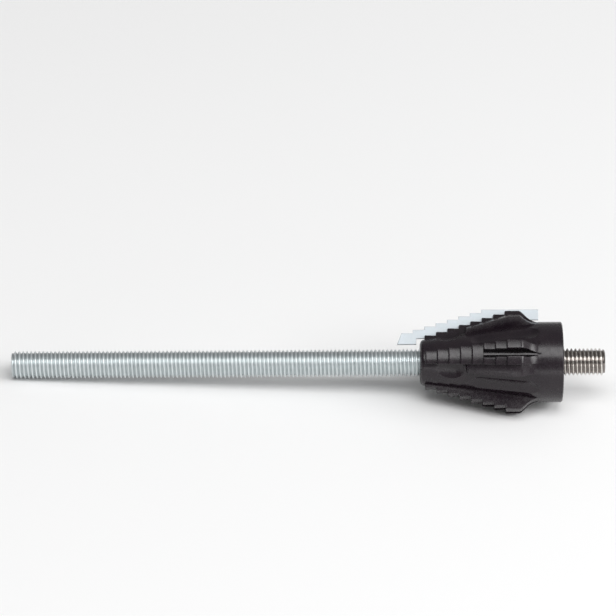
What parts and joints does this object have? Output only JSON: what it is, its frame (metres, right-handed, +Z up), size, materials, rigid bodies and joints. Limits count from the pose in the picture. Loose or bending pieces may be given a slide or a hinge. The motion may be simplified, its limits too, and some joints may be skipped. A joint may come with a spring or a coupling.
{
  "type": "stand-off anchor",
  "caption": "Stand-off anchor: threaded rod screwed into a toothed black plastic cone with a clip-in milling blade, and a separate stud at the cone's rear.",
  "frame": {"origin": "on the surface the anchor lies on, under the middle of its length and width", "axes": "+X along the anchor towards the stud, +Z up, +Y away from the side that the picture shows. The anchor's own axis rises 3.57 degrees towards the stud, as it lies at rest."},
  "size_m": [0.2594, 0.0406, 0.0407],
  "materials": {
    "zinc_plated_steel": "bright zinc plating on a rolled thread",
    "black_plastic": "satin moulded glass-fibre reinforced plastic",
    "stainless_steel": "bright rolled stainless thread",
    "galvanised_sheet": "galvanised sheet"
  },
  "bodies": {
    "rod": {"anchor_rod": "zinc_plated_steel"},
    "cone": {"cone": "black_plastic", "milling_blade": "galvanised_sheet"},
    "stud": {"threaded_stud": "stainless_steel"}
  },
  "joints": [
    {"name": "cone_thread", "type": "slide", "parent": "rod", "child": "cone", "axis": [0.9981, 0, 0.0623], "range_m": [0, 0.028]},
    {"name": "stud_thread", "type": "slide", "parent": "cone", "child": "stud", "axis": [0.9981, 0, 0.0623], "range_m": [0, 0.021]}
  ]
}
